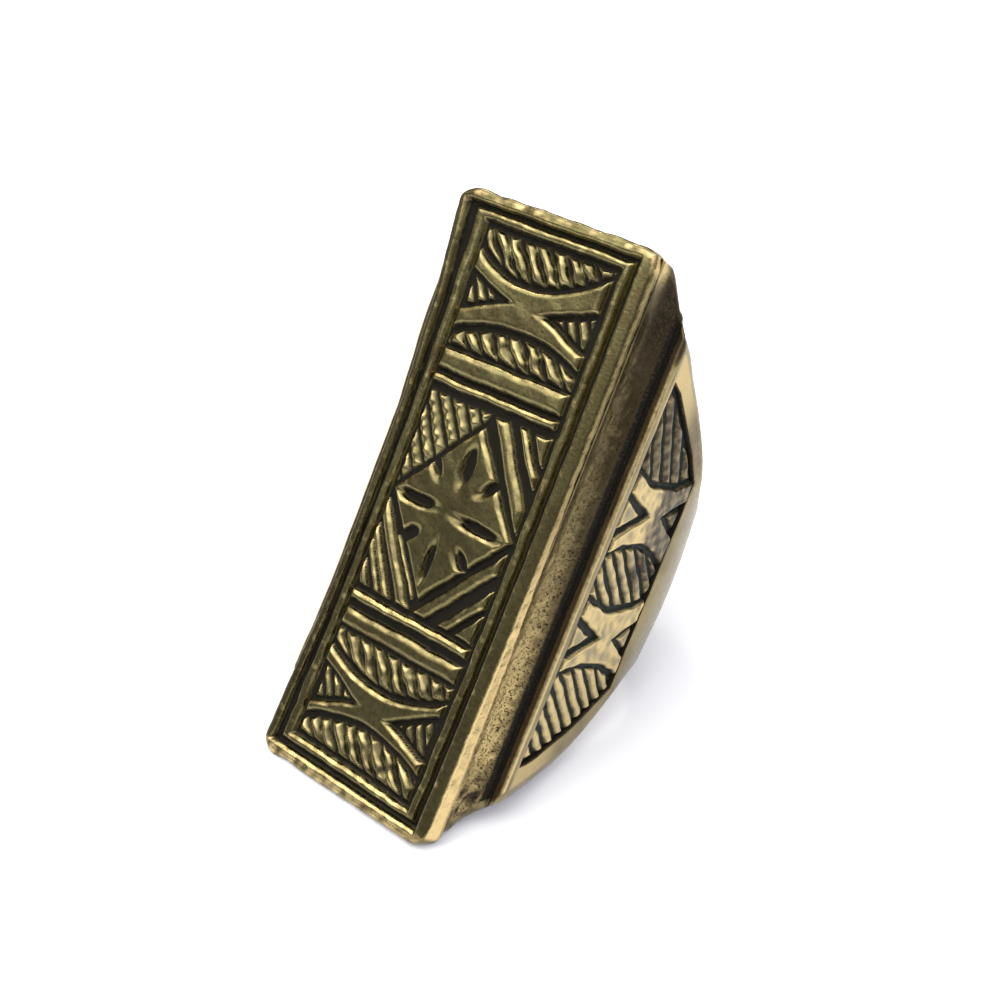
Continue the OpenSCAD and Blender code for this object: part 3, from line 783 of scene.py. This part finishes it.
def build_shank():
    """The shank: one closed tube. Its section loop is carried along the ring to both ends'
    outlines, rounds over the edge by an ellipse, runs in across the end to the finger
    hole and comes back through the hole."""
    line, *masks = right_half_section()
    mirror = slice(-2, 0, -1)
    loop = np.vstack([line, line[mirror]*(-1, 1)])
    dirty, pitted, brown, worn, deep = (np.concatenate([m, m[mirror]]) for m in masks)
    walked = np.cumsum(np.hypot(*(line - np.vstack([line[:1], line[:-1]])).T))
    walked = np.concatenate([walked, walked[mirror] + 40])
    normal = outward(loop)
    if (normal[:, 1]*(loop[:, 1] + SHANK_Z)).sum() < 0:
        normal = -normal
    across, depth = np.abs(loop[:, 0]), -loop[:, 1]
    on_cheek = depth > 3.7
    # the places round the hole, in the section's order and never turning back
    angle = np.minimum.accumulate(np.arctan2(line[:, 1] + SHANK_Z, line[:, 0]))
    angle = 0.96*angle + 0.04*np.linspace(angle[0], angle[-1], len(angle))
    angle = np.concatenate([angle, np.pi - angle[mirror]])
    hole = np.stack([np.cos(angle), np.sin(angle)], axis=1)

    def eased(values, reach=10):
        """Values round the loop, averaged over neighbours with a bell of weights."""
        bell = np.hanning(2*reach + 3)[1:-1]
        ring = np.concatenate([values[-reach:], values, values[:reach]])
        return np.convolve(ring, bell/bell.sum(), "valid")

    def ends(head_rows, rows, field_rows, reach, inset, sign):
        """One end: the places along the ring for each line of the loop, and the rows that
        round its edge, cross its flat part and turn into the hole."""
        head = np.interp(across, *np.array(head_rows).T)
        full = np.where(on_cheek, half_length(rows, np.maximum(depth, rows[0][1])), head)
        slope = (half_length(rows, depth + 0.2) - half_length(rows, depth - 0.2))/0.4
        slope = np.where(on_cheek, np.clip(slope, -1.4, 0), 0)
        # how far the rounding reaches along the ring and across it: less on the band, and
        # hardly at all under the tablet
        back = soft_step(depth, 12.3, 15.0)
        lip = soft_step(across, 8.1, 8.6)
        reach_y = (reach + (0.32 - reach)*back)*np.sqrt(1 + slope**2)
        reach_y = np.where(depth < 1.2, 0.12 + (reach_y - 0.12)*lip, reach_y)
        inset_x = np.where(depth < 1.2, 0.1, inset + (0.3 - inset)*back)
        room = full - reach_y
        # even lines up to the field's end, close ones over it, and even ones to the edge
        field_depth = np.clip(depth, FIELD_TOP, FIELD_LOW)
        field = np.interp(field_depth, *np.array(field_rows).T[::-1])
        share = field/half_length(rows, field_depth)
        mark = np.minimum(np.where(depth < FIELD_LOW, field, full*share), room - 0.4)
        inner = np.linspace(0, 1, 58)[:-1, None]*(mark - 0.1)
        border = mark + np.array([-0.1, -0.04, 0.0, 0.05, 0.12, 0.22])[:, None]
        outer = (mark + 0.22) + np.linspace(0, 1, 8)[1:, None]*(room - mark - 0.22)

        out_rows = []
        for turn in np.radians(np.linspace(10, 90, EDGE_ROWS)):
            row = loop - hole*(inset_x*(1 - np.cos(turn)))[:, None]
            out_rows.append((row, full - reach_y*(1 - np.sin(turn))))
        rim = out_rows[-1][0]
        mouth = hole*(BORE_R + MOUTH_R) - (0, SHANK_Z)
        mouth_y = half_length(rows, np.maximum(-mouth[:, 1], rows[0][1])) - 0.1
        for t in np.linspace(0, 1, 13)[1:]:
            start_y = full + soft_step(t, 0.0, 0.45)*(depth < 9)*(eased(full) - full)
            out_rows.append((rim + t*(mouth - rim), start_y + t*(mouth_y - start_y)))
        for turn in np.radians([25, 50, 70, 90]):
            row = hole*(BORE_R + MOUTH_R*(1 - np.sin(turn))) - (0, SHANK_Z)
            out_rows.append((row, mouth_y - MOUTH_R*(1 - np.cos(turn))))
        rows_3d = [np.stack([r[:, 0], sign*y, r[:, 1]], axis=1) for r, y in out_rows]
        return np.vstack([inner, border, outer]), rows_3d

    up_lines, up_rows = ends(UPPER_HEAD, UPPER_EDGE, UPPER_FIELD, 0.65, 0.45, 1)
    low_lines, low_rows = ends(LOWER_HEAD, LOWER_EDGE, LOWER_FIELD, 1.15, 0.6, -1)
    y = np.vstack([-low_lines[::-1], up_lines[1:]])
    d = np.broadcast_to(depth, y.shape)

    inside = np.minimum.reduce([
        d - FIELD_TOP, FIELD_LOW - d,
        np.where(y > 0, field_half(1, d) - y, field_half(-1, d) + y)])
    sunk = RECESS*soft_step(inside, -0.05, 0.03) + 0.05*soft_step(inside, -0.2, 0.0)
    sunk = np.where((d > 3.9) & (d < 13.4), sunk, 0)
    crown = 0.38*np.clip(1 - ((y + 0.9)/7.2)**2, 0, 1)*soft_step(d, 12.8, 16.5)
    rough = 0.015*ripple(walked, y, 0.9, 51) + 0.012*ripple(walked, y, 0.5, 52)
    push = pitted*rough + 0.015*ripple(walked, y, 2.8, 53) - sunk + crown
    # under the tablet the metal follows the hollow of its face
    dip = -0.32*saddle(y)/SAG*soft_step(d, 1.01, 0.97)
    tube = np.stack(
        [loop[:, 0] + normal[:, 0]*push, y, loop[:, 1] + normal[:, 1]*push + dip], axis=2)
    bore = [up_rows[-1] + t*(low_rows[-1] - up_rows[-1]) for t in np.linspace(0, 1, 26)[1:-1]]
    points = np.concatenate([tube, np.array(up_rows + bore + low_rows[::-1])], axis=0)
    points[..., 0] += left_pull(points)

    # 0 along the sides, and up to 1 over the edge of an end and past it
    count, size = points.shape[:2]
    start = len(y)
    steps = np.linspace(0.25, 1, EDGE_ROWS)[:, None]
    rounding = np.ones((count, 1))
    rounding[:start] = 0
    rounding[start:start + EDGE_ROWS] = steps
    rounding[-EDGE_ROWS:] = steps[::-1]
    on_side = 1 - np.minimum(2.5*rounding, 1)
    places = points[..., 1]

    # grime: the groove over the ledge, the walls of the field and blots in the cove's lower end,
    # with painted shade that darkens the cove's deep part towards the upper end
    field_wall = soft_step(inside, -0.1, -0.02)*((d > 3.9) & (d < 13.6))
    blots = soft_step(ripple(y, walked, 1.1, 55), -0.3, 0.5)*soft_step(-y, 14.5, 17.5)*(deep > 0.5)
    blots = np.maximum(0.8*blots, 0.68*deep*soft_step(y, 7, 18))
    hollow = np.maximum.reduce([np.broadcast_to(dirty, y.shape), field_wall, blots])
    hollow = np.vstack([hollow, np.zeros((count - start, size))])
    # darker brass: the cove, more so upwards as painted shade and in blots at its lower end,
    #     # painted shade on the lower part of the cheek's upper border, and the ledge's upper end
    blotch = 0.5 + 0.5*soft_step(ripple(places, walked, 1.2, 54), -0.5, 0.5)
    border = (depth > 3.9)*(1 - soft_step(depth, 12.5, 14.5))
    dull = np.maximum.reduce([
        deep*(0.3 + 0.22*soft_step(places, -12, 0) + 0.48*soft_step(places, 2, 12)),
        soft_step(deep, 0.3, 0.8)*soft_step(-places, 13, 17)*blotch,
        soft_step(deep, 0.2, 0.5)*soft_step(-places, 17, 18.8)*blotch,
        0.5*border*soft_step(places, 5.0, 7.0)*soft_step(depth, 8.2, 9.8),
        0.9*(depth < 4.6)*(deep + worn > 0)*soft_step(places, 15.0, 16.0)])
    # painted sheen in gold: a highlight on the cove's upper tip, its lower half, and the outer
    # parts of the cheek's border
    tip = soft_step(places, 19.3, 20.3)*(1 - soft_step(depth, 1.4, 2.3))
    tip = tip*(rounding < 1)*(depth > 0.985)
    gilt = np.maximum(
        (deep > 0)*soft_step(-places, -6, 9),
        0.8*border*soft_step(np.abs(places), 9.5, 12.5)*(1 - soft_step(depth, 6, 10)))
    # a painted reflection of the table in grey over the ends, the hole and the band's back
    return new_piece(
        "shank", points.reshape(-1, 3), sheet_quads(count, size, True, True),
        hollow=hollow*(1 - tip), pitted=pitted*on_side, brown=brown*on_side,
        worn=worn*on_side*(1 - soft_step(places, 14.8, 15.8)),
        dull=dull*(1 - tip)*(1 - 0.7*rounding**2)*(rounding < 1),
        gilt=tip + (1 - tip)*on_side*gilt,
        grey=np.maximum(0.7*rounding, soft_step(depth, 13.0, 16.0)*0.8))


# ---- materials ----


def colour(code):
    """An sRGB hex value as linear red, green, blue and alpha."""
    value = np.array([int(code[k:k + 2], 16) for k in (1, 3, 5)])/255
    linear = np.where(value <= 0.04045, value/12.92, ((value + 0.055)/1.055)**2.4)
    return (*linear, 1.0)


def per_mm(size):
    """Noise scale, in cycles a metre, that gives features of a size in mm."""
    return 1/(size*MM)


def add(tree, kind, links=(), **settings):
    """Adds a node, sets its properties and sockets by name, and links its inputs."""
    node = tree.nodes.new(kind)
    for key, value in settings.items():
        if hasattr(node, key):
            setattr(node, key, value)
        else:
            node.inputs[key.replace("_", " ")].default_value = value
    for socket, source in dict(links).items():
        tree.links.new(source, node.inputs[socket])
    return node


def mixed(tree, factor, first, second):
    """A colour between two, by a factor; each may be a socket or a colour."""
    node = tree.nodes.new("ShaderNodeMix")
    node.data_type = "RGBA"
    for name, value in (("Factor", factor), ("A", first), ("B", second)):
        sockets = [s for s in node.inputs if s.name == name and s.enabled]
        if isinstance(value, bpy.types.NodeSocket):
            tree.links.new(value, sockets[0])
        else:
            sockets[0].default_value = value
    return [s for s in node.outputs if s.enabled][0]


def ranged(tree, source, low, high, to_low=0.0, to_high=1.0):
    """A value carried from one range to another, and held at its ends."""
    node = add(tree, "ShaderNodeMapRange", {"Value": source})
    for name, value in (
            ("From Min", low), ("From Max", high), ("To Min", to_low), ("To Max", to_high)):
        node.inputs[name].default_value = value
    return node.outputs["Result"]


def maths(tree, operation, first, second):
    """Two values joined by a maths operation; each may be a socket or a number."""
    node = add(tree, "ShaderNodeMath", operation=operation)
    for k, value in enumerate((first, second)):
        if isinstance(value, bpy.types.NodeSocket):
            tree.links.new(value, node.inputs[k])
        else:
            node.inputs[k].default_value = value
    return node.outputs[0]


def old_brass(name, tone, stain, layers, rough, pit_mm, pit_depth, specks=None):
    """Cast brass, darkened with patina and polished back. The eye sees bright metal on the
    crests, an olive brown on broad surfaces, near black in the ground, and the fine grain
    that the casting sand leaves. Each layer is an attribute, its colour, the range over
    which it sets in and how far the grain breaks up its edge. The last layer is the dark one:
    patina and grime, and on the tablet and the shank painted shade as well. It is matt and hardly
    a metal."""
    material = bpy.data.materials.new(name)
    material.use_nodes = True
    tree = material.node_tree
    tree.nodes.clear()
    place = add(tree, "ShaderNodeTexCoord").outputs["Object"]

    def noise(size, detail=3.0):
        node = add(
            tree, "ShaderNodeTexNoise", {"Vector": place}, Scale=per_mm(size), Detail=detail)
        return node.outputs["Fac"]

    def mask(attribute):
        return add(tree, "ShaderNodeAttribute", attribute_name=attribute).outputs["Fac"]

    grain = noise(0.35, 4.0)
    loose = maths(tree, "SUBTRACT", grain, 0.5)
    base = mixed(tree, ranged(tree, noise(2.6), 0.42, 0.62), colour(tone), colour(stain))
    for attribute, shade, low, high, broken in layers:
        amount = maths(tree, "ADD", mask(attribute), maths(tree, "MULTIPLY", loose, broken))
        amount = ranged(tree, amount, low, high)
        base = mixed(tree, amount, base, colour(shade))
    # the dark last layer: patina and grime, on the tablet and the shank with painted shade
    dirt = amount
    if specks:
        attribute, shade, size = specks
        pits = ranged(tree, noise(size, 2.0), 0.54, 0.62)
        spots = maths(tree, "MULTIPLY", pits, mask(attribute))
        base = mixed(tree, spots, base, colour(shade))
    roughness = maths(
        tree, "ADD", ranged(tree, grain, 0.3, 0.7, rough - 0.06, rough + 0.1),
        maths(tree, "MULTIPLY", dirt, 0.3))
    bump = add(
        tree, "ShaderNodeBump", {"Height": noise(pit_mm, 5.0)}, Strength=1.0,
        Distance=pit_depth*MM).outputs["Normal"]
    shader = add(
        tree, "ShaderNodeBsdfPrincipled",
        {"Base Color": base, "Roughness": roughness, "Normal": bump,
         "Metallic": ranged(tree, dirt, 0.0, 1.0, 1.0, 0.25)}, Specular_IOR_Level=0.2)
    add(tree, "ShaderNodeOutputMaterial", {"Surface": shader.outputs["BSDF"]})
    return material


# ---- settings ----


class RingFinish(bpy.types.PropertyGroup):
    """Colours of the brass"""
    # the colour of bright wear on the crests, which on the tablet also paints their highlight
    worn: bpy.props.StringProperty(
        name="Worn brass", description="Colour of the rubbed crests", default="#cfbb80")
    face: bpy.props.StringProperty(
        name="Face", description="Colour of the face's broad surfaces", default="#837b53")
    # on the tablet this dark colour also paints shade on slopes and on its left side
    ground: bpy.props.StringProperty(
        name="Dark ground", description="Colour of the patina in the hollows", default="#1d1910")
    cheek: bpy.props.StringProperty(
        name="Cheeks", description="Colour of the cheeks' relief", default="#988a66")
    shank: bpy.props.StringProperty(
        name="Shank", description="Colour of the shank's plain metal", default="#8c7f5a")


class RingStage(bpy.types.PropertyGroup):
    """The table, the lights and the surroundings"""
    floor: bpy.props.StringProperty(
        name="Floor", description="Colour of the table", default="#fcfcfc")
    floor_size: bpy.props.FloatProperty(
        name="Floor size", description="Width of the table", default=2.4, unit="LENGTH")
    # painted light: the table glows to keep the shadow pale
    glow: bpy.props.FloatProperty(
        name="Floor glow", description="Light that comes through the table",
        default=0.14, min=0.0)
    key_power: bpy.props.FloatProperty(
        name="Key light", description="Power of the large soft light above",
        default=0.8, unit="POWER")
    spark_power: bpy.props.FloatProperty(
        name="Spark light", description="Power of the small light behind",
        default=0.25, unit="POWER")
    air: bpy.props.FloatProperty(
        name="Low surroundings", description="Brightness round the table",
        default=0.32, min=0.0)
    dome: bpy.props.FloatProperty(
        name="High surroundings", description="Brightness overhead", default=2.1, min=0.0)


# ---- operators ----


class RING_OT_tablet(bpy.types.Operator):
    """Builds the tablet with its rim, border lines and raised relief"""
    bl_idname = "ring.tablet"
    bl_label = "Tablet"

    def execute(self, context):
        finish = context.scene.ring_finish
        finish_piece(build_tablet(), old_brass(
            "relieved_antique_brass", finish.face, "#7a6f4c", [
                # stain: stains and painted shade; crest: wear with a painted highlight on upward
                # slopes; wall: painted highlight on the rim; hollow: patina with painted shade
                ("stain", "#3a3220", 0.0, 1.1, 0.4), ("crest", finish.worn, 0.25, 1.0, 0.7),
                ("wall", "#d2b983", 0.2, 0.9, 0.3), ("hollow", finish.ground, 0.3, 0.85, 0.5)],
            0.27, 0.22, 0.015))
        return {"FINISHED"}


class RING_OT_cheeks(bpy.types.Operator):
    """Builds the relief panels of the two cheeks"""
    bl_idname = "ring.cheeks"
    bl_label = "Cheeks"

    def execute(self, context):
        finish = context.scene.ring_finish
        material = old_brass(
            "verdigris_relief_brass", finish.cheek, "#857a62", [
                # the gold layer is gold with a painted sheen, and the brown one is painted shade;
                # the dark green one is patina in the ground
                ("crest", "#cbb682", 0.4, 1.1, 0.8), ("gilt", "#cdb67e", 0.2, 1.0, 0.5),
                ("brown", "#453d31", 0.1, 1.0, 0.7),
                ("hollow", "#2c312b", 0.3, 0.85, 0.6)],
            0.34, 0.3, 0.015)
        finish_piece(build_cheek("cheek_right", 1), material)
        finish_piece(build_cheek("cheek_left", -1), material)
        return {"FINISHED"}


class RING_OT_shank(bpy.types.Operator):
    """Builds the shank with its coves, ledges and plain band"""
    bl_idname = "ring.shank"
    bl_label = "Shank"

    def execute(self, context):
        finish = context.scene.ring_finish
        finish_piece(build_shank(), old_brass(
            "sand_cast_brass", finish.shank, "#7a6d4d", [
                # the grey layer is a painted reflection of the table, the gold one a painted
                # sheen, the darker brass one has painted shade, and the bright one is wear with a
                # painted highlight on the ridge
                ("grey", "#8f8976", 0.1, 0.9, 0.3), ("gilt", "#c3ad78", 0.1, 1.0, 0.3),
                ("dull", "#4c4230", 0.1, 1.1, 0.6),
                ("brown", "#5b4b33", 0.1, 1.0, 0.5), ("worn", "#d6c08c", 0.3, 1.0, 0.5),
                ("hollow", "#17130d", 0.3, 0.8, 0.25)],
            0.32, 0.3, 0.02, specks=("pitted", "#4a3d28", 0.16)))
        return {"FINISHED"}


# Camera in mm over the table: its place, the point in the middle of its picture, its turn
# about that line in degrees, and the lens for a 36 mm sensor
CAMERA_PLACE = (49.68, -59.53, 72.16)
CAMERA_AIM = (-2.249, 3.087, 13.998)
CAMERA_ROLL = 0.08
CAMERA_LENS = 46.82
# Lights: place in mm and width in mm, each turned to the ring's middle
RING_MIDDLE = (0, 0, 15)
KEY_PLACE, KEY_WIDTH = (-140, -190, 420), 400
SPARK_PLACE, SPARK_WIDTH = (-230, 180, 330), 70


def turned_to(place, target):
    """The turn that points an object's -Z axis from a place to a target, with Y upwards."""
    return (Vector(target) - Vector(place)).to_track_quat("-Z", "Y")


def add_light(name, place, width, power, tint):
    """A square soft light that faces the ring."""
    light = bpy.data.lights.new(name, "AREA")
    light.shape = "SQUARE"
    light.size = width*MM
    light.energy = power
    light.color = colour(tint)[:3]
    lamp = bpy.data.objects.new(name, light)
    lamp.location = MM*Vector(place)
    lamp.rotation_mode = "QUATERNION"
    lamp.rotation_quaternion = turned_to(place, RING_MIDDLE)
    bpy.context.scene.collection.objects.link(lamp)


class RING_OT_stage(bpy.types.Operator):
    """Builds the pale table, the soft lights and the camera"""
    bl_idname = "ring.stage"
    bl_label = "Stage"

    def execute(self, context):
        stage = context.scene.ring_stage
        half = stage.floor_size/2
        mesh = bpy.data.meshes.new("table")
        corners = [(-half, -half, 0), (half, -half, 0), (half, half, 0), (-half, half, 0)]
        mesh.from_pydata(corners, [], [(0, 1, 2, 3)])
        table = bpy.data.objects.new("table", mesh)
        context.scene.collection.objects.link(table)
        card = bpy.data.materials.new("matt_white_card")
        card.use_nodes = True
        shader = card.node_tree.nodes["Principled BSDF"]
        shader.inputs["Base Color"].default_value = colour(stage.floor)
        shader.inputs["Roughness"].default_value = 0.8
        # the card glows a little, painted light with a lavender tint, so the shadow stays pale
        shader.inputs["Emission Color"].default_value = colour("#dedcff")
        shader.inputs["Emission Strength"].default_value = stage.glow
        mesh.materials.append(card)
        add_light("key", KEY_PLACE, KEY_WIDTH, stage.key_power, "#fffaf2")
        add_light("spark", SPARK_PLACE, SPARK_WIDTH, stage.spark_power, "#fff4dc")
        world = bpy.data.worlds.new("studio")
        world.use_nodes = True
        tree = world.node_tree
        # A soft tent: dim round the table and bright overhead
        way = add(tree, "ShaderNodeTexCoord").outputs["Generated"]
        height = add(tree, "ShaderNodeSeparateXYZ", {"Vector": way}).outputs["Z"]
        air = tree.nodes["Background"]
        air.inputs["Color"].default_value = colour("#f4f5f7")
        brightness = ranged(tree, height, 0.45, 0.85, stage.air, stage.dome)
        tree.links.new(brightness, air.inputs["Strength"])
        context.scene.world = world
        camera = bpy.data.cameras.new("camera")
        camera.lens = CAMERA_LENS
        camera.sensor_width = 36.0
        camera.clip_start, camera.clip_end = 0.001, 10.0
        eye = bpy.data.objects.new("camera", camera)
        eye.location = MM*Vector(CAMERA_PLACE)
        eye.rotation_mode = "QUATERNION"
        roll = Quaternion((0, 0, 1), np.radians(CAMERA_ROLL))
        eye.rotation_quaternion = turned_to(CAMERA_PLACE, CAMERA_AIM) @ roll
        context.scene.collection.objects.link(eye)
        context.scene.camera = eye
        context.scene.view_settings.view_transform = "Standard"
        return {"FINISHED"}


class RING_PT_panel(bpy.types.Panel):
    """Lists the steps that build the ring"""
    bl_label = "Cross ring"
    bl_idname = "RING_PT_panel"
    bl_space_type = "VIEW_3D"
    bl_region_type = "UI"
    bl_category = "Ring"

    def draw(self, context):
        layout = self.layout
        for group in (context.scene.ring_finish, context.scene.ring_stage):
            for key in group.bl_rna.properties.keys():
                if key not in {"rna_type", "name"}:
                    layout.prop(group, key)
        for step in STEPS:
            layout.operator(step.bl_idname)


STEPS = (RING_OT_stage, RING_OT_tablet, RING_OT_cheeks, RING_OT_shank)
CLASSES = (RingFinish, RingStage, *STEPS, RING_PT_panel)


def register():
    for cls in CLASSES:
        bpy.utils.register_class(cls)
    bpy.types.Scene.ring_finish = bpy.props.PointerProperty(type=RingFinish)
    bpy.types.Scene.ring_stage = bpy.props.PointerProperty(type=RingStage)


def unregister():
    del bpy.types.Scene.ring_stage
    del bpy.types.Scene.ring_finish
    for cls in reversed(CLASSES):
        bpy.utils.unregister_class(cls)


def main():
    """Builds everything."""
    register()
    bpy.ops.ring.stage()
    bpy.ops.ring.tablet()
    bpy.ops.ring.cheeks()
    bpy.ops.ring.shank()


if __name__ == "__main__":
    main()
